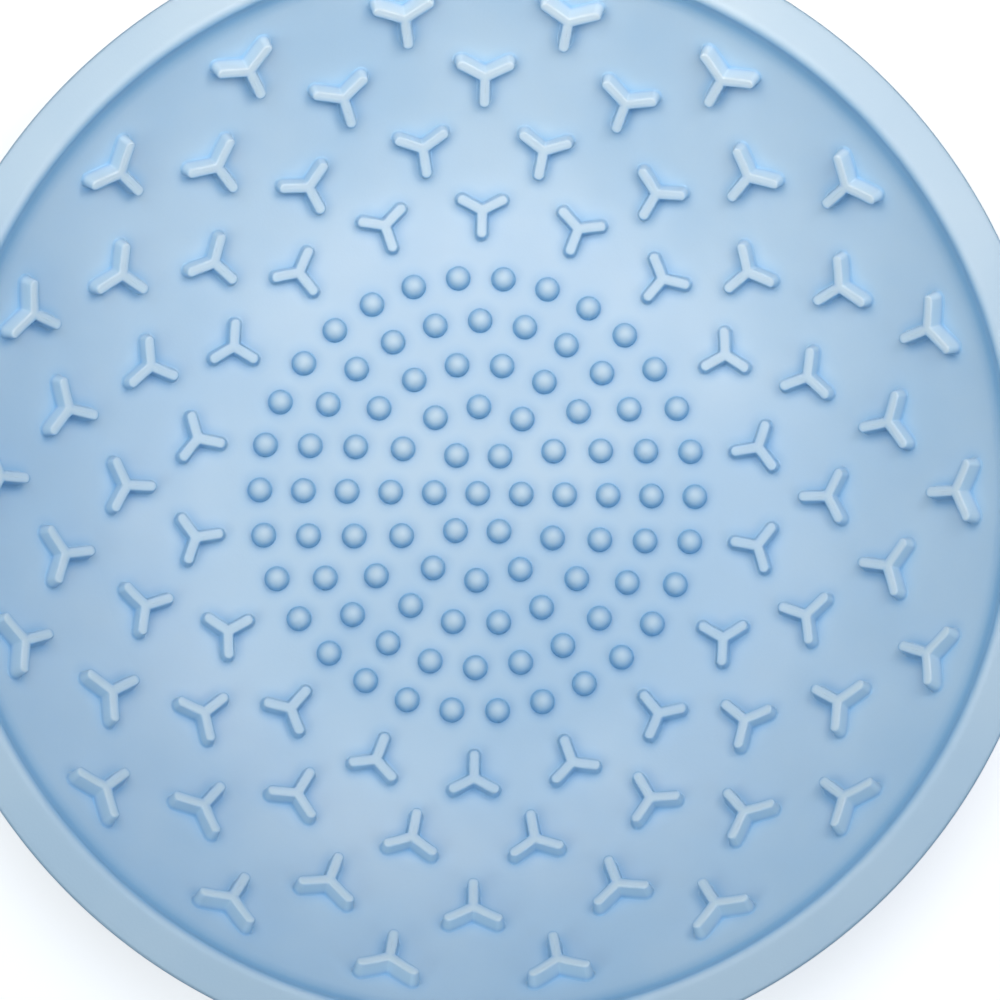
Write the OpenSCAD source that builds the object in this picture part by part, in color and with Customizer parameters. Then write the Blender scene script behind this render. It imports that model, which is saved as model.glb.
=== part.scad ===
// Round silicone lick mat: a shallow bowl with a flat rim, nubs on the floor and three-armed ribs on the wall.
// Millimetres, +Z up, origin on the resting plane under the centre of the mat.

/* [Bowl] */
// Outside diameter of the rim
outer_d = 172; // [168:1:180]
// Height of the rim's top above the inside floor
bowl_depth = 28.4; // [28.2:0.1:32]
// Height of the inside floor above the resting plane
floor_z = 8; // [6:0.5:12]
// Radius of the flat part of the inside floor
floor_r = 38.5; // [38:0.5:40]
// Thickness of the floor and the wall
wall_t = 2.6; // [1.5:0.1:3]

/* [Wall curve] */
// Inside radius of the curve that leaves the floor
heel_r = 41; // [38:1:44]
// Wall angle where that curve ends
heel_angle = 32; // [31:0.5:33]
// Inside radius of the long, nearly straight part of the wall
flank_r = 68; // [66:1:70]
// Wall angle where the long part ends
flank_angle = 52.2; // [51.6:0.2:52.6]
// Inside radius of the curve that turns the wall upright under the rim
shoulder_r = 7.2; // [6.4:0.2:7.6]

/* [Rim] */
// Thickness of the rim's flange
rim_t = 3; // [2:0.1:4]
// Radius of the soft inner lip
lip_r = 1.3; // [0.8:0.1:1.6]
// Radius of the flange's outer edge
rim_edge_r = 0.6; // [0.3:0.1:1]

/* [Nubs] */
// Distance between nub rings, and between nubs across the middle
nub_pitch = 6.9; // [6:0.1:7]
// Diameter of a nub
nub_d = 3.8; // [3:0.1:4.4]
// Height of the straight foot below a nub's dome
nub_foot = 0.4; // [0.1:0.1:1]

/* [Ribs] */
// Ribs in each ring
rib_count = 18; // [12:1:20]
// Distance from the axis to each ring of ribs, measured where they stand on the wall
rib_ring_r = [45.2, 55.65, 65.6, 74.15]; // [44:0.05:75]
// Length of a rib's arm in each ring
rib_arm = [4.8, 5.15, 5.45, 5.7]; // [4:0.05:6]
// Height of a rib in each ring
rib_h = [2.2, 2.4, 2.6, 2.8]; // [1.5:0.1:3.5]
// Width of an arm at its crest
rib_crest_w = 1.7; // [1.2:0.05:1.9]
// Width of an arm at the wall
rib_base_w = 2.1; // [1.9:0.05:2.4]
// Rounding along the crest
rib_round = 0.35; // [0.1:0.05:0.5]

/* [Base] */
// Outside diameter of the foot ring
foot_d = 76; // [72:1:76]
// Width of the foot ring
foot_w = 4; // [3:0.5:6]
// Rounding of the foot ring's lower edges
foot_edge_r = 1; // [0.5:0.1:1.4]
// Distance from the axis to each suction cup
cup_ring_r = 19; // [18:0.5:20]
// Diameter of a cup's lip
cup_d = 24; // [18:1:25]
// Thickness of a cup's bell
cup_t = 0.8; // [0.6:0.1:1.2]
// Width of the flat land on a cup's lip
cup_land = 0.6; // [0.4:0.1:1]
// Radius of the inside of a cup's bell
cup_bell_r = 26; // [22:1:30]
// Diameter of the stem that joins a cup to the floor
cup_stem_d = 9; // [7:1:11]

/* [Hidden] */
mat_blue = [0.68, 0.81, 0.92];
rim_blue = [0.76, 0.86, 0.94];
outer_r = outer_d / 2;
rim_z = floor_z + bowl_depth;
under_z = floor_z - wall_t;
// Segments round the end of a rib's arm
tip_steps = 4;
// The wall's three arcs touch each other, so each centre lies on the line through the last joint
heel_c = [floor_r, floor_z + heel_r];
heel_end = heel_c + heel_r * wall_dir(heel_angle);
flank_c = heel_end - flank_r * wall_dir(heel_angle);
flank_end = flank_c + flank_r * wall_dir(flank_angle);
shoulder_c = flank_end - shoulder_r * wall_dir(flank_angle);
mouth_r = shoulder_c[0] + shoulder_r;

// Direction from an arc's centre to the wall, where the wall has this slope
function wall_dir(slope) = [sin(slope), -cos(slope)];

// Slope of the inside wall at a distance from the axis
function slope_at(r) =
    r < heel_end[0] ? asin((r - heel_c[0]) / heel_r) : asin((r - flank_c[0]) / flank_r);

// Slice of a disc between two wall slopes, grown outwards by g
module wall_arc(centre, radius, from, to, g) {
    reach = (radius + g) / cos((to - from) / 2) + 1;
    intersection() {
        translate(centre) circle(r = radius + g, $fn = 180);
        polygon([centre, centre + reach * wall_dir(from), centre + reach * wall_dir((from + to) / 2),
            centre + reach * wall_dir(to)]);
    }
}

// Half section of the bowl's hollow, grown outwards by g, up to the height top
module hollow_2d(g, top) {
    wall_arc(heel_c, heel_r, 0, heel_angle, g);
    wall_arc(flank_c, flank_r, heel_angle, flank_angle, g);
    wall_arc(shoulder_c, shoulder_r, flank_angle, 90, g);
    polygon([[0, floor_z - g], [floor_r, floor_z - g],
        heel_c + (heel_r + g) * wall_dir(heel_angle),
        flank_c + (flank_r + g) * wall_dir(flank_angle),
        shoulder_c + (shoulder_r + g) * wall_dir(90),
        [mouth_r + g, top], [0, top]]);
}

module floor_disc() {
    color(mat_blue)
    translate([0, 0, under_z]) cylinder(r = floor_r, h = wall_t, $fn = 180);
}

// Section of the wall between two slopes, as thick as the wall
module wall_band(centre, radius, from, to) {
    difference() {
        wall_arc(centre, radius, from, to, wall_t);
        translate(centre) circle(r = radius, $fn = 180);
    }
}

// The curve that leaves the floor, up to its first joint
module lower_wall() {
    color(mat_blue)
    rotate_extrude($fn = 180) wall_band(heel_c, heel_r, 0, heel_angle);
}

// The long part and the curve that turns upright, up to the underside of the rim
module upper_wall() {
    color(mat_blue)
    rotate_extrude($fn = 180) {
        wall_band(flank_c, flank_r, heel_angle, flank_angle);
        intersection() {
            wall_band(shoulder_c, shoulder_r, flank_angle, 90);
            square([outer_r, rim_z - rim_t]);
        }
    }
}

// Quarter disc that rounds an outer corner, with its centre at c
module quarter(c, r, turn) {
    translate(c) rotate(turn) intersection() {
        circle(r = r, $fn = 64);
        square(r);
    }
}

module rim_flange() {
    low = rim_z - rim_t;
    flat_r = mouth_r + lip_r;
    color(rim_blue)
    rotate_extrude($fn = 180)
    difference() {
        union() {
            translate([floor_r, low]) square([flat_r - floor_r, rim_t - lip_r]);
            quarter([flat_r, rim_z - lip_r], lip_r, 90);
            translate([flat_r, low]) square([outer_r - rim_edge_r - flat_r, rim_t]);
            translate([outer_r - rim_edge_r, low + rim_edge_r]) square([rim_edge_r, rim_t - 2 * rim_edge_r]);
            quarter([outer_r - rim_edge_r, rim_z - rim_edge_r], rim_edge_r, 0);
            quarter([outer_r - rim_edge_r, low + rim_edge_r], rim_edge_r, -90);
        }
        hollow_2d(0, rim_z - lip_r);
    }
}

// One nub: a short straight foot under a dome
module nub() {
    rotate_extrude($fn = 48) {
        square([nub_d / 2, nub_foot]);
        quarter([0, nub_foot], nub_d / 2, 0);
    }
}

// Ring k holds 6k nubs
module nub_ring(k) {
    color(mat_blue)
    for (i = [0 : 6 * k - 1])
        rotate(i * 60 / k) translate([k * nub_pitch, 0, floor_z]) nub();
}

module centre_nub() {
    color(mat_blue) translate([0, 0, floor_z]) nub();
}

// Half width and height of a rib at its foot, below its rounded crest, on the round and at its top
function rib_levels(h) = [[rib_base_w / 2, 0], [rib_crest_w / 2, h - rib_round],
    [rib_crest_w / 2 - 0.3 * rib_round, h - 0.3 * rib_round], [rib_crest_w / 2 - rib_round, h]];

// Outline of a rib with this half width: round ends on three arms, and a corner between each two
function rib_outline(run, half) = [for (arm = [60, 180, 300]) each concat(
    [for (i = [0 : tip_steps]) let (a = arm - 90 + 180 * i / tip_steps)
        [run * cos(arm) + half * cos(a), run * sin(arm) + half * sin(a)]],
    [half / sin(60) * [cos(arm + 60), sin(arm + 60)]])];

// Point of the wall's arc: x up the wall from the slope given, y round the mat, h square to the wall
function on_wall(centre, radius, slope, x, y, h) =
    let (here = slope + x / radius * 180 / PI,
        r = centre[0] + (radius - h) * sin(here),
        turn = y / (centre[0] + radius * sin(here)) * 180 / PI)
    [r * cos(turn), r * sin(turn), centre[1] - (radius - h) * cos(here)];

// Rib k: one arm towards the axis and two spread outwards, standing square to the wall all over
module rib(k) {
    r = rib_ring_r[k];
    h = rib_h[k];
    centre = r < heel_end[0] ? heel_c : flank_c;
    radius = r < heel_end[0] ? heel_r : flank_r;
    levels = rib_levels(h);
    loops = [for (level = levels) rib_outline(rib_arm[k] - rib_base_w / 2, level[0])];
    n = len(loops[0]);
    top = len(levels) - 1;
    foot_i = n * (top + 1);
    points = concat(
        [for (l = [0 : top]) for (p = loops[l]) on_wall(centre, radius, slope_at(r), p[0], p[1], levels[l][1])],
        [on_wall(centre, radius, slope_at(r), 0, 0, 0), on_wall(centre, radius, slope_at(r), 0, 0, h)]);
    sides = [for (l = [0 : top - 1]) for (i = [0 : n - 1]) let (j = (i + 1) % n)
        each [[l * n + i, (l + 1) * n + i, (l + 1) * n + j], [l * n + i, (l + 1) * n + j, l * n + j]]];
    caps = [for (i = [0 : n - 1]) let (j = (i + 1) % n)
        each [[foot_i, i, j], [foot_i + 1, top * n + j, top * n + i]]];
    polyhedron(points, concat(sides, caps));
}

module rib_ring(k) {
    start = k % 2 == 0 ? 180 / rib_count : 0;
    color(mat_blue)
    for (i = [0 : rib_count - 1])
        rotate(start + i * 360 / rib_count) rib(k);
}

module foot_ring() {
    in_r = foot_d / 2 - foot_w;
    color(mat_blue)
    rotate_extrude($fn = 180) {
        translate([in_r, foot_edge_r]) square([foot_w, under_z - foot_edge_r]);
        translate([in_r + foot_edge_r, 0]) square([foot_w - 2 * foot_edge_r, foot_edge_r]);
        quarter([foot_d / 2 - foot_edge_r, foot_edge_r], foot_edge_r, -90);
        quarter([in_r + foot_edge_r, foot_edge_r], foot_edge_r, 180);
    }
}

// A thin bell under a short stem, with a narrow flat lip on the resting plane
module cup_solid() {
    lip_in = cup_d / 2 - cup_land;
    centre_z = -sqrt(cup_bell_r * cup_bell_r - lip_in * lip_in);
    rotate_extrude($fn = 96)
    difference() {
        union() {
            square([cup_stem_d / 2, under_z]);
            intersection() {
                translate([0, centre_z]) circle(r = cup_bell_r + cup_t, $fn = 180);
                square([cup_d / 2, under_z]);
            }
        }
        translate([0, centre_z]) circle(r = cup_bell_r, $fn = 180);
    }
}

// Cup k of the four, which stand on the diagonals
module suction_cup(k) {
    color(mat_blue)
    rotate(90 * k - 45) translate([cup_ring_r, 0, 0]) cup_solid();
}

floor_disc();
lower_wall();
upper_wall();
rim_flange();
centre_nub();
nub_ring(1);  // nub_ring_1
nub_ring(2);  // nub_ring_2
nub_ring(3);  // nub_ring_3
nub_ring(4);  // nub_ring_4
nub_ring(5);  // nub_ring_5
rib_ring(0);  // rib_ring_1
rib_ring(1);  // rib_ring_2
rib_ring(2);  // rib_ring_3
rib_ring(3);  // rib_ring_4
foot_ring();
suction_cup(1);  // suction_cup_1
suction_cup(2);  // suction_cup_2
suction_cup(3);  // suction_cup_3
suction_cup(4);  // suction_cup_4
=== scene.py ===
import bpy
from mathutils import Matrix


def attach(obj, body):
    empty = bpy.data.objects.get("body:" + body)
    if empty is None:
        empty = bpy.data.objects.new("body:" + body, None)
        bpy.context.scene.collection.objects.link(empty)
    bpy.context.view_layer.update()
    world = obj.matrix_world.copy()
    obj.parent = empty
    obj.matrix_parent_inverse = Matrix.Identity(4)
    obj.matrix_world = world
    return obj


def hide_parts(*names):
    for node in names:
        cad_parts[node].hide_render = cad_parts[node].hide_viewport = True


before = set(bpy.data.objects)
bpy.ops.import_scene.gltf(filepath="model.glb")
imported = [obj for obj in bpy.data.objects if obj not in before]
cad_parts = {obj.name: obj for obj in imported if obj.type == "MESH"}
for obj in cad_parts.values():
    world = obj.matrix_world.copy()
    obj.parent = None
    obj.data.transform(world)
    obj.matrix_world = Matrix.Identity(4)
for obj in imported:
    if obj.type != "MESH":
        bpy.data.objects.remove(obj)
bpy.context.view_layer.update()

import math

import bpy
import numpy as np
from mathutils import Matrix, Vector

print("frame loaded:", len(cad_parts), "nodes")

# Round silicone lick mat: a shallow bowl, nubs on its floor, three-armed ribs on its wall,
# a foot ring and cups below. Profiles are in millimetres and become metres in the meshes.
# A tone from -1 to 1 goes with each point and paints light or shade into the colour there: paler for painted
# light, deeper for painted shade.

mm = 0.001
touching = 1e-6     # points closer than this are one
sharpEdge = 40      # degrees between faces from which an edge stays sharp


# Points of an arc: centre plus radius times cosine and sine of evenly spaced angles in degrees.
def arc(centre, radius, start, end, steps):
    angle = np.radians(np.linspace(start, end, steps + 1))
    return np.asarray(centre) + radius * np.stack([np.cos(angle), np.sin(angle)], axis=-1)


# Straight run between two points in equal steps.
def line(start, end, steps):
    share = np.linspace(0, 1, steps + 1)[:, None]
    return np.asarray(start) * (1 - share) + np.asarray(end) * share


# Adds a third column to a run of points: its tone, which passes evenly through the given values.
def toned(run, *tones):
    run = np.atleast_2d(np.asarray(run, float))
    share = np.linspace(0, len(tones) - 1, len(run))
    return np.column_stack([run, np.interp(share, np.arange(len(tones)), tones)])


# Joins runs of points into one profile and drops the points that repeat.
# A run without a tone gets tone 0.
def joined(*runs):
    runs = [np.atleast_2d(np.asarray(run, float)) for run in runs]
    points = np.concatenate([run if run.shape[1] == 3 else toned(run, 0, 0) for run in runs])
    step = np.linalg.norm(np.diff(points[:, :2], axis=0), axis=1)
    return points[np.concatenate([[True], step > touching])]


# Grid of rows and columns turned into quads. Columns wrap round, and so do rows
# where the profile is closed.
def gridFaces(rows, columns, closed):
    row, column = np.meshgrid(np.arange(rows if closed else rows - 1), np.arange(columns), indexing="ij")
    row, column = row.ravel(), column.ravel()
    below, beside = (row + 1) % rows, (column + 1) % columns
    return np.stack([row * columns + column, below * columns + column,
                     below * columns + beside, row * columns + beside], axis=-1)


# Two fans of triangles that close a stack of rings with this many points in all: the first
# ring runs to the point numbered after them, and the last ring to the next one.
def endFans(count, around):
    here = np.arange(around)
    there = (here + 1) % around
    top = count - around
    return np.vstack([np.stack([np.full(around, count), here, there], axis=-1),
                      np.stack([np.full(around, count + 1), top + there, top + here], axis=-1)])


# Profile of radius and height carried round the Z axis: x = r cos(angle), y = r sin(angle).
# A profile that starts and ends on the axis gets one shared point and a fan at each end.
def revolved(profile, around):
    poles = profile[0, 0] < touching and profile[-1, 0] < touching
    ring = profile[1:-1] if poles else profile
    angle = np.arange(around) * 2 * math.pi / around
    points = np.stack([ring[:, 0, None] * np.cos(angle), ring[:, 0, None] * np.sin(angle),
                       np.repeat(ring[:, 1, None], around, axis=1)], axis=-1).reshape(-1, 3)
    quads = gridFaces(len(ring), around, not poles)
    paintedShading = np.repeat(ring[:, 2], around)
    if not poles:
        return points, quads, np.zeros((0, 3), int), paintedShading
    fans = endFans(len(points), around)
    points = np.vstack([points, [0, 0, profile[0, 1]], [0, 0, profile[-1, 1]]])
    return points, quads, fans, np.append(paintedShading, profile[[0, -1], 2])


# Six times the volume under all faces, as a sum of corner products: negative where the
# faces point inwards.
def signedVolume(points, quads, fans):
    corners = np.vstack([quads[:, [0, 1, 2]], quads[:, [0, 2, 3]], fans])
    a, b, c = points[corners[:, 0]], points[corners[:, 1]], points[corners[:, 2]]
    return np.einsum("ij,ij->", a, np.cross(b, c))


# Copies of one shape under a stack of 3 by 3 turns, each with its own shift, with the faces
# numbered on.
def copies(shape, turns, shifts):
    points, quads, fans, paintedShading = shape
    many = (np.einsum("nij,pj->npi", turns, points) + shifts[:, None, :]).reshape(-1, 3)
    offset = (np.arange(len(turns)) * len(points))[:, None, None]
    faces = (quads[None] + offset).reshape(-1, 4), (fans[None] + offset).reshape(-1, 3)
    return many, *faces, np.tile(paintedShading, len(turns))


# Turns about Z by these angles in degrees, as a stack of matrices.
def turnsAboutZ(degrees):
    angle = np.radians(np.asarray(degrees, float))
    zero, one = np.zeros_like(angle), np.ones_like(angle)
    return np.stack([np.stack([np.cos(angle), -np.sin(angle), zero], axis=-1),
                     np.stack([np.sin(angle), np.cos(angle), zero], axis=-1),
                     np.stack([zero, zero, one], axis=-1)], axis=1)


# Makes the mesh object, faces outwards and smooth except across real edges, and gives it
# its CAD node's place.
def piece(name, shape, node, material):
    points, quads, fans, paintedShading = shape
    if signedVolume(points, quads, fans) < 0:
        quads, fans = quads[:, ::-1], fans[:, ::-1]
    mesh = bpy.data.meshes.new(name)
    mesh.from_pydata((points * mm).tolist(), [], quads.tolist() + fans.tolist())
    # per-point painted light and shade for the material
    mesh.attributes.new("paintedShading", "FLOAT", "POINT").data.foreach_set("value", paintedShading.astype(np.float32))
    mesh.polygons.foreach_set("use_smooth", np.ones(len(mesh.polygons), bool))
    mesh.set_sharp_from_angle(angle=math.radians(sharpEdge))
    mesh.materials.append(material)
    thing = bpy.data.objects.new(name, mesh)
    bpy.context.scene.collection.objects.link(thing)
    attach(thing, "root")
    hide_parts(node)
    print("piece", name, len(mesh.polygons), "faces")


# Shader maths: a wire stands for a socket, and sums and products of wires and numbers add
# Math nodes.
class Wire:
    def __init__(self, graph, socket):
        self.graph = graph
        self.socket = socket

    def maths(self, operation, first, second):
        return self.graph.add("ShaderNodeMath", {"operation": operation}, {0: first, 1: second})

    def __add__(self, other):
        return self.maths("ADD", self, other)

    def __radd__(self, other):
        return self.maths("ADD", other, self)

    def __sub__(self, other):
        return self.maths("SUBTRACT", self, other)

    def __rsub__(self, other):
        return self.maths("SUBTRACT", other, self)

    def __mul__(self, other):
        return self.maths("MULTIPLY", self, other)

    def __rmul__(self, other):
        return self.maths("MULTIPLY", other, self)

    # 0 below the first edge, 1 above the second, smooth between
    def step(self, low, high):
        return self.graph.add("ShaderNodeMapRange", {"interpolation_type": "SMOOTHSTEP"},
                              {"Value": self, "From Min": low, "From Max": high})


class Graph:
    def __init__(self, tree):
        self.tree = tree
        tree.nodes.clear()

    # adds a node: its settings first, then a link or a value for each socket
    def add(self, kind, settings=None, inputs=None, output=0):
        made = self.tree.nodes.new(kind)
        for key, value in (settings or {}).items():
            setattr(made, key, value)
        for key, value in (inputs or {}).items():
            if isinstance(value, Wire):
                self.tree.links.new(value.socket, made.inputs[key])
            else:
                made.inputs[key].default_value = value
        return Wire(self, made.outputs[output]) if made.outputs else made

    def mixColour(self, factor, first, second):
        sockets = {"Factor": factor, 6: first, 7: second}
        return self.add("ShaderNodeMix", {"data_type": "RGBA"}, sockets, output=2)

    def noise(self, place, scale, detail=2.0):
        return self.add("ShaderNodeTexNoise", None, {"Vector": place, "Scale": scale, "Detail": detail})

    # relief of a height in metres, on top of another one
    def relief(self, height, under=None):
        sockets = {"Height": height, "Distance": 1.0, "Strength": 1.0}
        if under is not None:
            sockets["Normal"] = under
        return self.add("ShaderNodeBump", None, sockets)


silicone = {
    "colour": (0.495, 0.695, 0.860, 1),   # linear red, green, blue
    "deeper": (0.441, 0.652, 0.840, 1),   # slow clouding in the pigment
    "paintedHighlight": (0.603, 0.779, 0.890, 1),     # painted highlight: paler where light falls on crests, nub tops, the rim and sides facing up the wall, at tone -1
    "paintedShade": (0.222, 0.492, 0.765, 1),     # painted shade: deeper where shade falls at feet, in corners and under the lip, at tone 1
    "cloudScale": 38.0,                   # clouds for each metre
    "cloudDetail": 3.0,
    "cloudEdges": (0.35, 0.65),
    "cloudGloss": 0.1,                    # how much the clouds change the roughness
    # painted corner shade: the colour darkens in corners by the share of nearby directions closed off
    "cornerShadeReach": 0.002,                 # how far the painted corner shade reaches, metres
    "cornerShadeDepth": 1.4,
    "cornerShadeLift": 1.0,                    # tilts the normal that the painted corner shade is felt about upwards, as if the light came from above
    "cornerShadeSamples": 4,
    "speck": (0.22, 0.36, 0.52, 1),       # rare dust in the skin
    "speckDepth": 0.6,
    "speckScale": 65.0,                   # cells for each metre, with a speck in the chosen ones
    "speckEdges": (0.006, 0.013),         # its radius, as a share of a cell
    "chosenScale": 31.0,
    "chosenEdges": (0.55, 0.6),
    "roughness": 0.42,
    "grainHeight": 0.000012,              # fine mould grain, metres
    "grainScale": 2400.0,
    "grainGloss": 0.12,                   # how much the grain changes the roughness
    "waveHeight": 0.00012,                # soft unevenness, metres
    "waveScale": 70.0,
    "waveDetail": 1.0,
    "refraction": 1.41,
}


# Pale silicone: a slow noise clouds the pigment, a fine one gives the satin grain, and a broad
# one the unevenness. The colour deepens or pales with the tone of the piece, as painted shade and
# painted highlight, and deepens in corners as painted shade, by the share of directions that are closed off
# there.
def siliconeMaterial(name, values):
    material = bpy.data.materials.new(name)
    material.use_nodes = True
    graph = Graph(material.node_tree)
    place = graph.add("ShaderNodeTexCoord", output="Object")
    cloud = graph.noise(place, values["cloudScale"], values["cloudDetail"])
    grain = graph.noise(place, values["grainScale"])
    wave = graph.noise(place, values["waveScale"], values["waveDetail"])
    cell = graph.add("ShaderNodeTexVoronoi", None, {"Vector": place, "Scale": values["speckScale"]})
    chosen = graph.noise(place, values["chosenScale"])
    speck = (1.0 - cell.step(*values["speckEdges"])) * chosen.step(*values["chosenEdges"])
    # painted light and shade carried by each point's tone attribute
    paintedShading = graph.add("ShaderNodeAttribute", {"attribute_name": "paintedShading"}, output="Fac")
    # painted corner shade: ambient occlusion, felt about a normal tilted upwards, darkens the colour
    square = graph.add("ShaderNodeNewGeometry", output="Normal")
    upwards = (0, 0, values["cornerShadeLift"])
    lifted = graph.add("ShaderNodeVectorMath", {"operation": "ADD"}, {0: square, 1: upwards})
    lifted = graph.add("ShaderNodeVectorMath", {"operation": "NORMALIZE"}, {0: lifted})
    openness = graph.add("ShaderNodeAmbientOcclusion", {"samples": values["cornerShadeSamples"]},
                         {"Distance": values["cornerShadeReach"], "Normal": lifted}, output="AO")
    closed = (1.0 - openness) * values["cornerShadeDepth"]
    colour = graph.mixColour(cloud.step(*values["cloudEdges"]), values["colour"], values["deeper"])
    # painted shade deepens the colour, then painted highlight makes it paler
    colour = graph.mixColour(paintedShading + closed, colour, values["paintedShade"])
    colour = graph.mixColour(0.0 - paintedShading, colour, values["paintedHighlight"])
    colour = graph.mixColour(speck * values["speckDepth"], colour, values["speck"])
    gloss = (grain - 0.5) * values["grainGloss"] + (cloud - 0.5) * values["cloudGloss"]
    surface = graph.add("ShaderNodeBsdfPrincipled", None, {
        "Base Color": colour,
        "Roughness": values["roughness"] + gloss,
        "Normal": graph.relief(grain * values["grainHeight"], graph.relief(wave * values["waveHeight"])),
        "IOR": values["refraction"],
    })
    graph.add("ShaderNodeOutputMaterial", None, {"Surface": surface})
    return material


paleSilicone = siliconeMaterial("pale_blue_silicone", silicone)
print("materials made")

bowl = {
    "floorHeight": 8.0,            # top of the floor above the table
    "floorRadius": 38.5,           # flat part of the floor
    "thickness": 2.6,              # floor and wall
    "heelRadius": 41.0,            # curve that leaves the floor
    "heelSlope": 32.0,             # wall angle where that curve ends
    "flankRadius": 68.0,           # long part of the wall
    "flankSlope": 52.2,            # wall angle where the long part ends
    "shoulderRadius": 7.2,         # curve that turns upright under the rim
    "underFillet": 1.3,            # between the wall's outside and the flange
    "heelPaintedShade": [0.0, 0.05],       # painted shade, up the first curve
    "flankPaintedShade": [0.05, 0.15],     # painted shade, up the long part
    "shoulderPaintedShade": [0.15, 0.8],   # painted shade, growing up to the lip where the steep wall lies in shade
    "around": 360,                 # segments round the mat
    "floorSteps": 24,              # segments along each part of the profile
    "heelSteps": 32,
    "flankSteps": 28,
    "shoulderSteps": 18,
    "outerShoulderSteps": 16,
    "topSteps": 3,
    "underFilletSteps": 8,
}

rim = {
    "outerRadius": 86.0,
    "top": 36.4,
    "thickness": 3.0,
    "lipRadius": 1.3,                     # soft inner edge
    "edgeRadius": 0.6,                    # outer edge
    "lipPaintedShading": [0.8, 0.4, -0.1, -0.35],   # painted shade from the shoulder over the lip, then painted highlight on the flat top
    "shoulderSteps": 4,
    "lipSteps": 12,
    "flatSteps": 6,
    "edgeSteps": 8,
}


# Direction from an arc's centre to the wall, where the wall has this slope: sine outwards,
# minus cosine up.
def wallDirection(slope):
    return np.stack([np.sin(slope), -np.cos(slope)], axis=-1)


# Points of a wall arc between two slopes in radians, grown outwards by the given thickness.
def wallArc(centre, radius, start, end, steps, grow=0.0):
    return centre + (radius + grow) * wallDirection(np.linspace(start, end, steps + 1))


# the inside of the bowl is three touching arcs: heel, flank and shoulder
heelSlope = math.radians(bowl["heelSlope"])
flankSlope = math.radians(bowl["flankSlope"])
heelCentre = np.array([bowl["floorRadius"], bowl["floorHeight"] + bowl["heelRadius"]])
heelEnd = heelCentre + bowl["heelRadius"] * wallDirection(heelSlope)
flankCentre = heelEnd - bowl["flankRadius"] * wallDirection(heelSlope)
flankEnd = flankCentre + bowl["flankRadius"] * wallDirection(flankSlope)
shoulderCentre = flankEnd - bowl["shoulderRadius"] * wallDirection(flankSlope)
mouthRadius = shoulderCentre[0] + bowl["shoulderRadius"]
wallTop = rim["top"] - rim["thickness"]
wallTopSlope = math.acos(-(wallTop - shoulderCentre[1]) / bowl["shoulderRadius"])
wallTopRadius = shoulderCentre[0] + bowl["shoulderRadius"] * math.sin(wallTopSlope)


# Floor disc: flat above and below, its edge upright where the wall begins.
def floorShape():
    top, low = bowl["floorHeight"], bowl["floorHeight"] - bowl["thickness"]
    edge, steps = bowl["floorRadius"], bowl["floorSteps"]
    profile = joined(line((0, top), (edge, top), steps), line((edge, low), (0, low), steps))
    return revolved(profile, bowl["around"])


# Lower wall: the heel arc inside, the same arc grown by the thickness outside.
def lowerWallShape():
    radius, steps = bowl["heelRadius"], bowl["heelSteps"]
    inside = toned(wallArc(heelCentre, radius, 0, heelSlope, steps), *bowl["heelPaintedShade"])
    outside = wallArc(heelCentre, radius, heelSlope, 0, steps, bowl["thickness"])
    return revolved(joined(inside, outside), bowl["around"])


# Upper wall: flank and shoulder arcs inside, grown outside, cut level under the rim with a
# fillet to the flange. The fillet's centre lies a fillet radius below the flange and a fillet
# radius outside the wall.
def upperWallShape():
    grow, fillet = bowl["thickness"], bowl["underFillet"]
    flank, shoulder = bowl["flankRadius"], bowl["shoulderRadius"]
    away = shoulder + grow + fillet
    centreSlope = math.acos(-(wallTop - shoulderCentre[1] - fillet) / away)
    filletCentre = shoulderCentre + away * wallDirection(centreSlope)
    lower = math.degrees(math.atan2(*(shoulderCentre - filletCentre)[::-1])) % 360
    inFlank = wallArc(flankCentre, flank, heelSlope, flankSlope, bowl["flankSteps"])
    inShoulder = wallArc(shoulderCentre, shoulder, flankSlope, wallTopSlope, bowl["shoulderSteps"])
    profile = joined(
        toned(inFlank, *bowl["flankPaintedShade"]),
        toned(inShoulder, *bowl["shoulderPaintedShade"]),
        line((wallTopRadius, wallTop), (filletCentre[0], wallTop), bowl["topSteps"]),
        arc(filletCentre, fillet, 90, lower, bowl["underFilletSteps"]),
        wallArc(shoulderCentre, shoulder, centreSlope, flankSlope, bowl["outerShoulderSteps"], grow),
        wallArc(flankCentre, flank, flankSlope, heelSlope, bowl["flankSteps"], grow))
    return revolved(profile, bowl["around"])


# Rim flange: the shoulder's last few degrees, a soft lip, the flat top, a rounded outer edge
# and a flat underside.
def rimShape():
    lip, edge = rim["lipRadius"], rim["edgeRadius"]
    flat, outer, top = mouthRadius + lip, rim["outerRadius"] - edge, rim["top"]
    # painted shade under the lip and painted highlight on the flat top
    below, above = bowl["shoulderPaintedShade"][-1], rim["lipPaintedShading"][-1]
    shoulder = wallArc(shoulderCentre, bowl["shoulderRadius"], wallTopSlope, math.pi / 2,
                       rim["shoulderSteps"])
    profile = joined(
        toned(shoulder, below, rim["lipPaintedShading"][0]),
        toned(arc((flat, top - lip), lip, 180, 90, rim["lipSteps"]), *rim["lipPaintedShading"]),
        toned(line((flat, top), (outer, top), rim["flatSteps"]), above, above),
        toned(arc((outer, top - edge), edge, 90, 0, rim["edgeSteps"]), above, 0),
        arc((outer, wallTop + edge), edge, 0, -90, rim["edgeSteps"]),
        line((outer, wallTop), (wallTopRadius, wallTop), rim["flatSteps"]))
    return revolved(profile, bowl["around"])


piece("bowl_floor", floorShape(), "floor_disc", paleSilicone)
piece("bowl_lower_wall", lowerWallShape(), "lower_wall", paleSilicone)
piece("bowl_upper_wall", upperWallShape(), "upper_wall", paleSilicone)
piece("rim_top", rimShape(), "rim_flange", paleSilicone)

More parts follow.
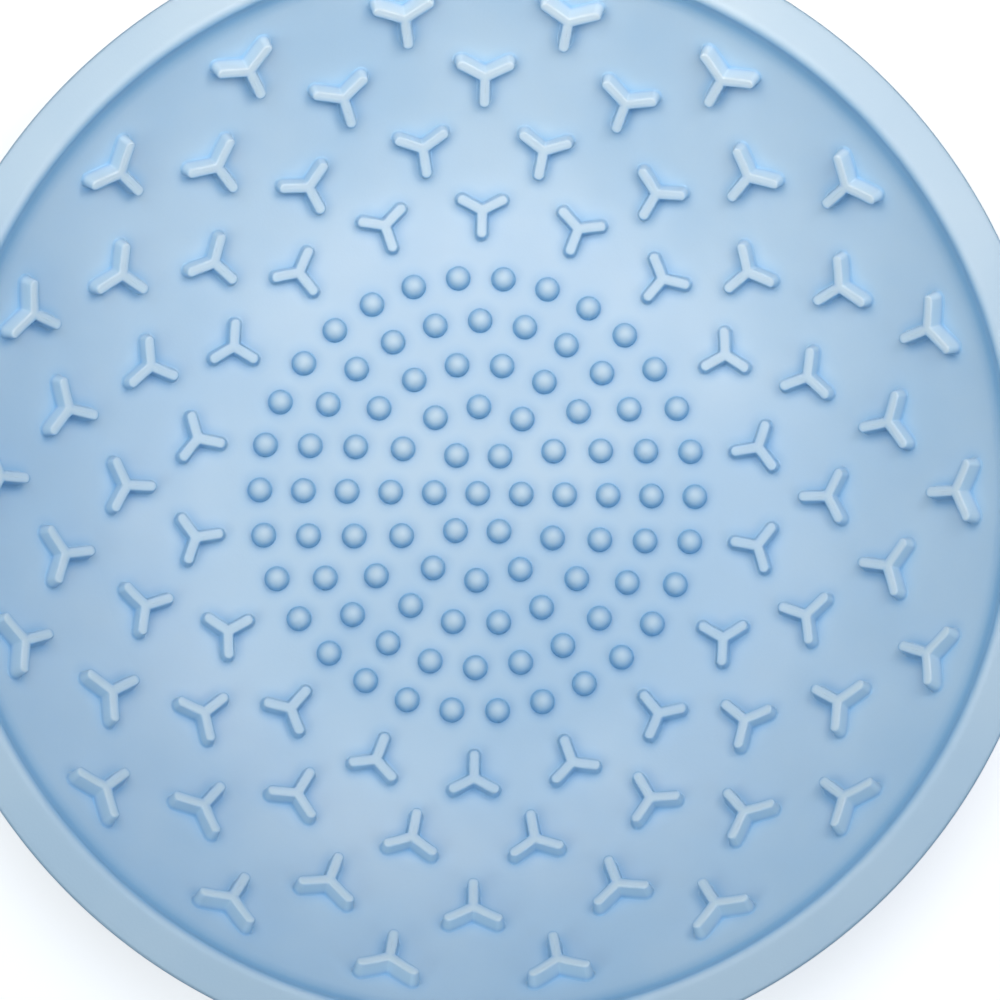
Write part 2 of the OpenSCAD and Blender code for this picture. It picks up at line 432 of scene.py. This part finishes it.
nubs = {
    "pitch": 6.9,                         # between rings, and between nubs across the middle
    "radius": 1.86,
    "straight": 0.4,                      # foot below the dome
    "fillet": 0.12,                       # where the foot meets the floor
    "sunk": 0.12,                         # root below the floor
    "rings": 5,
    "ringStep": 6,                        # nubs that each ring has more than the one inside it
    "around": 36,
    "filletSteps": 4,
    "domeSteps": 12,
    "levels": [0, 0.5, 1.2, 1.9, 2.3],    # heights of the tones
    "paintedShading": [0.9, 0.9, 0.7, 0.1, -0.5],   # painted shade at the foot to painted highlight at the top of the dome
}


# One nub's profile: a fillet that leaves the floor, a short straight foot and a half-round
# dome. Its tone, painted shade at the foot and painted highlight at the top, follows the height in straight
# runs.
def nubProfile():
    wide, fillet, straight = nubs["radius"], nubs["fillet"], nubs["straight"]
    root = [(0, -nubs["sunk"]), (wide + fillet, -nubs["sunk"])]
    foot = arc((wide + fillet, fillet), fillet, 270, 180, nubs["filletSteps"])
    dome = arc((0, straight), wide, 0, 90, nubs["domeSteps"])
    profile = joined(root, foot, dome[:-1], [(0, straight + wide)])
    profile[:, 2] = np.interp(profile[:, 1], nubs["levels"], nubs["paintedShading"])
    return profile


# Ring k holds 6k nubs, at the pitch times k from the middle, the first one on the X axis.
# Ring 0 is the middle nub.
def nubRing(k):
    count = max(nubs["ringStep"] * k, 1)
    turns = turnsAboutZ(np.arange(count) * 360.0 / count)
    shifts = turns @ np.array([k * nubs["pitch"], 0, 0]) + [0, 0, bowl["floorHeight"]]
    return copies(revolved(nubProfile(), nubs["around"]), turns, shifts)


piece("middle_nub", nubRing(0), "centre_nub", paleSilicone)
for k in range(1, nubs["rings"] + 1):
    piece(f"nubs_ring_{k}", nubRing(k), f"nub_ring_{k}", paleSilicone)

ribs = {
    "count": 18,
    "ringRadius": [45.2, 55.65, 65.6, 74.15],   # where each ring stands on the wall
    "arm": [4.8, 5.15, 5.45, 5.7],              # length of an arm
    "height": [2.2, 2.4, 2.6, 2.8],
    "crest": 1.7,                               # width at the crest
    "base": 2.1,                                # width at the wall
    "round": 0.35,                              # along the crest
    "fillet": 0.3,                              # along the wall
    "crotch": 0.45,                             # inside corners between the arms
    "sunk": 0.15,
    "spine": 0.03,                              # half width of the innermost plan on the crest
    "filletSteps": 5,
    "sideSteps": 3,
    "roundSteps": 6,
    "crestSteps": 3,
    "endSteps": 12,
    "armSteps": 4,
    "crotchSteps": 5,
    # painted light and shade on a rib go by the share of the height, and then from 1 to 2 across the crest
    # to its middle
    "levels": [0, 0.12, 0.3, 0.85, 1.2, 2],
    "paintedShading": [0.0, 0.1, 0.25, 0.25, 0.05, -0.25],   # painted shade on the sides, painted highlight along the middle of the crest, on a level wall
    "steepHighlight": [0, 0, 0, 0, -0.3, -0.6],             # painted highlight on the crest, added for each unit of the wall's sine
    "lean": [-0.5, 0.1, 1.4, 2.0, 1.2, 0],         # taken off on sides that face up the wall: painted light on them where light falls, painted shade at their foot
}


# Half width and height of a rib's section: a hollow fillet off the wall, a slight draft, a
# rounded crest.
def ribSection(height):
    base, crest = ribs["base"] / 2, ribs["crest"] / 2
    soft, fillet = ribs["round"], ribs["fillet"]
    foot = arc((base + fillet, fillet), fillet, 270, 180, ribs["filletSteps"])
    top = arc((crest - soft, height - soft), soft, 0, 90, ribs["roundSteps"])
    side = line(foot[-1], top[0], ribs["sideSteps"])
    flat = line(top[-1], (ribs["spine"], height), ribs["crestSteps"])
    return joined([(base + fillet, -ribs["sunk"])], foot, side, top, flat)[:, :2]


# Unit vector at this angle in degrees from the X axis.
def heading(degrees):
    return np.array([math.cos(math.radians(degrees)), math.sin(math.radians(degrees))])


# Plan of a rib with this half width: arms at 60, 180 and 300 degrees with half-round ends, and
# a fillet in each corner between them, whose centre lies on the bisector at (half width + fillet)
# over the sine of 60 degrees.
def ribPlan(run, half):
    crotch, steps = ribs["crotch"], ribs["armSteps"]
    parts = []
    for arm in (60, 180, 300):
        corner = heading(arm + 60) * (half + crotch) / math.sin(math.radians(60))
        end = arc(heading(arm) * run, half, arm - 90, arm + 90, ribs["endSteps"])
        inside = arc(corner, crotch, arm + 270, arm + 210, ribs["crotchSteps"])
        nextEnd = heading(arm + 120) * run + heading(arm + 30) * half
        parts += [end, line(end[-1], inside[0], steps)[1:-1], inside, line(inside[-1], nextEnd, steps)[1:-1]]
    return np.concatenate(parts)


# Point of the wall: x up along its arc, y round the mat, h square to it, as distance along each.
def onWall(centre, radius, slope, x, y, h):
    here = slope + x / radius
    turn = y / (centre[0] + radius * np.sin(here))
    away = centre[0] + (radius - h) * np.sin(here)
    up = centre[1] - (radius - h) * np.cos(here)
    return np.stack([away * np.cos(turn), away * np.sin(turn), up], axis=-1)


# Painted light and shade of each point of a rib: by its level, changed by the wall's sine, and paler, as
# painted light, on the sides that face up the wall. A side faces square to its outline: up the wall where
# the outline runs across it.
def ribTones(section, outline, height, sine):
    level = section[:, 1] / height + np.clip(1 - section[:, 0] / (ribs["crest"] / 2), 0, 1)
    tones = np.interp(level, ribs["levels"], np.add(ribs["paintedShading"], sine * np.array(ribs["steepHighlight"])))
    tangent = np.roll(outline, -1, axis=0) - np.roll(outline, 1, axis=0)
    facing = tangent[:, 1] / np.linalg.norm(tangent, axis=1)
    lean = sine * np.interp(level, ribs["levels"], ribs["lean"])
    sides = tones[:, None] - lean[:, None] * facing
    return np.append(sides.ravel(), tones[[0, -1]])


# One rib of ring k: plans of shrinking half width stacked up the section, laid on the wall by
# distance.
def ribShape(k):
    standing, height = ribs["ringRadius"][k], ribs["height"][k]
    onHeel = standing < heelEnd[0]
    centre, radius = (heelCentre, bowl["heelRadius"]) if onHeel else (flankCentre, bowl["flankRadius"])
    slope = math.asin((standing - centre[0]) / radius)
    section = ribSection(height)
    run = ribs["arm"][k] - ribs["base"] / 2
    plans = np.stack([ribPlan(run, half) for half in section[:, 0]])
    around = plans.shape[1]
    levels = np.repeat(section[:, 1, None], around, axis=1)
    points = onWall(centre, radius, slope, plans[..., 0], plans[..., 1], levels).reshape(-1, 3)
    ends = onWall(centre, radius, slope, np.zeros(2), np.zeros(2), section[[0, -1], 1])
    quads = gridFaces(len(plans), around, False)
    paintedShading = ribTones(section, plans[0], height, math.sin(slope))
    return np.vstack([points, ends]), quads, endFans(len(points), around), paintedShading


# Each ring is turned half a step from the one below, so its ribs stand between theirs.
def ribRing(k):
    step = 360.0 / ribs["count"]
    angle = (0.5 * step if k % 2 == 0 else 0.0) + step * np.arange(ribs["count"])
    return copies(ribShape(k), turnsAboutZ(angle), np.zeros((ribs["count"], 3)))


for k in range(len(ribs["ringRadius"])):
    piece(f"ribs_ring_{k + 1}", ribRing(k), f"rib_ring_{k + 1}", paleSilicone)

base = {
    "footRadius": 38.0,                # outside of the foot ring
    "footWidth": 4.0,
    "footEdge": 1.0,
    "footFillet": 0.9,                 # foot ring to the underside
    "edgeSteps": 8,
    "filletSteps": 6,
    "cupTurns": [45, 135, 225, 315],   # degrees from the X axis
    "cupPlace": 19.0,                  # distance of each cup from the middle
    "cupRadius": 12.0,
    "cupWall": 0.8,
    "cupLand": 0.6,                    # flat of the lip on the table
    "cupEdge": 0.2,                    # round outside the flat
    "bellRadius": 26.0,
    "stemRadius": 4.5,
    "stemFillet": 0.7,
    "cupAround": 128,
    "bellSteps": 20,
    "outerBellSteps": 14,
    "cupEdgeSteps": 4,
}
underside = bowl["floorHeight"] - bowl["thickness"]


# Foot ring: rounded below, with a fillet to the underside on both faces.
def footShape():
    outer, inner = base["footRadius"], base["footRadius"] - base["footWidth"]
    edge, fillet = base["footEdge"], base["footFillet"]
    profile = joined(
        arc((outer - edge, edge), edge, -90, 0, base["edgeSteps"]),
        arc((outer + fillet, underside - fillet), fillet, 180, 90, base["filletSteps"]),
        arc((inner - fillet, underside - fillet), fillet, 90, 0, base["filletSteps"]),
        arc((inner + edge, edge), edge, 180, 270, base["edgeSteps"]))
    return revolved(profile, bowl["around"])


# Suction cup: a bell of two arcs about one centre, a narrow flat lip, and a stem with fillets
# at both ends.
def cupShape():
    wide, wall, edge = base["cupRadius"], base["cupWall"], base["cupEdge"]
    lip = wide - base["cupLand"]
    bell, stem, fillet = base["bellRadius"], base["stemRadius"], base["stemFillet"]
    low = -math.sqrt(bell * bell - lip * lip)
    inside = math.degrees(math.acos(lip / bell))
    outside = math.degrees(math.acos(wide / (bell + wall)))
    meeting = math.acos((stem + fillet) / (bell + wall + fillet))
    filletCentre = (stem + fillet, low + (bell + wall + fillet) * math.sin(meeting))
    meeting = math.degrees(meeting)
    profile = joined(
        [(0, low + bell)],
        arc((0, low), bell, 90, inside, base["bellSteps"])[1:],
        arc((wide - edge, edge), edge, -90, 0, base["cupEdgeSteps"]),
        arc((0, low), bell + wall, outside, meeting, base["outerBellSteps"]),
        arc(filletCentre, fillet, meeting + 180, 180, base["filletSteps"]),
        arc((stem + fillet, underside - fillet), fillet, 180, 90, base["filletSteps"]),
        [(0, underside)])
    return revolved(profile, base["cupAround"])


piece("foot", footShape(), "foot_ring", paleSilicone)
for k, degrees in enumerate(base["cupTurns"], 1):
    turn = turnsAboutZ([degrees])
    shift = turn @ np.array([base["cupPlace"], 0, 0])
    piece(f"cup_{k}", copies(cupShape(), turn, shift), f"suction_cup_{k}", paleSilicone)

studio = {
    "floorColour": (0.9, 0.9, 0.9, 1),
    "floorReach": 3.0,         # half its side, metres
    "floorLift": 0.6,          # added for the camera alone, so that the lit floor shows white
    "floorFar": (0.16, 0.5),   # metres from the middle where the lift grows to 1, past the lamps' light
    "ambient": 0.075,
    "ambientColour": (0.23, 0.61, 1.00, 1),
}
white = (1, 1, 1, 1)

# name, place and size in metres, power in watts, colour; every panel faces the middle of the mat
panels = [
    ("side_right", (0.3, -0.15, 0.36), 0.25, 0.296, (0.77, 0.88, 1)),
    ("side_left", (-0.3, -0.15, 0.36), 0.25, 0.379, (1, 0.99, 0.92)),
    ("key_right", (0.1, 0.08, 0.22), 0.1, 0.121, (1, 0.92, 0.88)),
    ("key_left", (-0.1, 0.08, 0.22), 0.1, 0.075, (0.8, 0.91, 1)),
    ("overhead", (0, 0.02, 0.4), 0.16, 0.351, (0.83, 0.89, 1)),
    ("close_top", (0, 0.06, 0.11), 0.08, 0.051, (1, 0.69, 0.47)),
]


# White for the camera, and the ambient level for everything else.
def studioWorld():
    world = bpy.data.worlds.new("studio")
    bpy.context.scene.world = world
    world.use_nodes = True
    graph = Graph(world.node_tree)
    seen = graph.add("ShaderNodeLightPath", output="Is Camera Ray")
    ambient = graph.add("ShaderNodeBackground", None, {"Color": studio["ambientColour"],
                                                       "Strength": studio["ambient"]})
    backdrop = graph.add("ShaderNodeBackground", None, {"Color": white, "Strength": 1.0})
    mixed = graph.add("ShaderNodeMixShader", None, {0: seen, 1: ambient, 2: backdrop})
    graph.add("ShaderNodeOutputWorld", None, {"Surface": mixed})


# Plain floor under the mat, white with the mat's soft shadow.
def studioFloor():
    mesh = bpy.data.meshes.new("studio_floor")
    reach = studio["floorReach"]
    corners = [(-reach, -reach, 0), (reach, -reach, 0), (reach, reach, 0), (-reach, reach, 0)]
    mesh.from_pydata(corners, [], [(0, 1, 2, 3)])
    material = bpy.data.materials.new("studio_floor")
    material.use_nodes = True
    graph = Graph(material.node_tree)
    seen = graph.add("ShaderNodeLightPath", output="Is Camera Ray")
    place = graph.add("ShaderNodeTexCoord", output="Object")
    away = graph.add("ShaderNodeVectorMath", {"operation": "LENGTH"}, {0: place}, output="Value")
    lift = studio["floorLift"] + away.step(*studio["floorFar"]) * (1.0 - studio["floorLift"])
    matte = graph.add("ShaderNodeBsdfDiffuse", None, {"Color": studio["floorColour"]})
    glow = graph.add("ShaderNodeEmission", None, {"Color": white, "Strength": seen * lift})
    both = graph.add("ShaderNodeAddShader", None, {0: matte, 1: glow})
    graph.add("ShaderNodeOutputMaterial", None, {"Surface": both})
    mesh.materials.append(material)
    thing = bpy.data.objects.new("studio_floor", mesh)
    bpy.context.scene.collection.objects.link(thing)


def studioPanels():
    for name, place, size, power, colour in panels:
        lamp = bpy.data.lights.new(name, "AREA")
        lamp.shape = "DISK"
        lamp.size = size
        lamp.energy = power
        lamp.color = colour
        thing = bpy.data.objects.new(name, lamp)
        thing.visible_camera = False
        aim = Vector((0, 0, bowl["floorHeight"] * mm)) - Vector(place)
        thing.matrix_world = Matrix.Translation(place) @ aim.to_track_quat("-Z", "Y").to_matrix().to_4x4()
        bpy.context.scene.collection.objects.link(thing)


view = {
    "frame": 1000.0,         # width of the picture in pixels
    "pixels": 2800.0,        # focal length in those pixels
    "sensor": 36.0,          # millimetres
    "near": 0.01,            # metres from the lens where sight begins
    "distance": 444.2,       # millimetres from the floor's middle, along the view
    "tilt": -4.3,            # degrees about X
    "lean": 1.55,            # degrees about Y
    "roll": -0.89,           # degrees about Z
    "aside": (-3.52, 1.06),  # floor's middle beside the view's axis
}


# The mat's points seen from the camera are turned by roll, tilt and lean, then moved, so the
# camera takes the inverse.
def studioCamera():
    lens = bpy.data.cameras.new("camera")
    lens.sensor_width = view["sensor"]
    lens.lens = view["pixels"] / view["frame"] * view["sensor"]
    lens.clip_start = view["near"]
    turn = (Matrix.Rotation(math.radians(view["lean"]), 4, "Y")
            @ Matrix.Rotation(math.radians(view["tilt"]), 4, "X")
            @ Matrix.Rotation(math.radians(view["roll"]), 4, "Z"))
    move = Matrix.Translation((view["aside"][0] * mm, view["aside"][1] * mm, -view["distance"] * mm))
    thing = bpy.data.objects.new("camera", lens)
    seen = move @ turn @ Matrix.Translation((0, 0, -bowl["floorHeight"] * mm))
    thing.matrix_world = seen.inverted()
    bpy.context.scene.collection.objects.link(thing)
    bpy.context.scene.camera = thing


studioWorld()
studioFloor()
studioPanels()
studioCamera()
bpy.context.scene.view_settings.view_transform = "Standard"
print("studio ready")
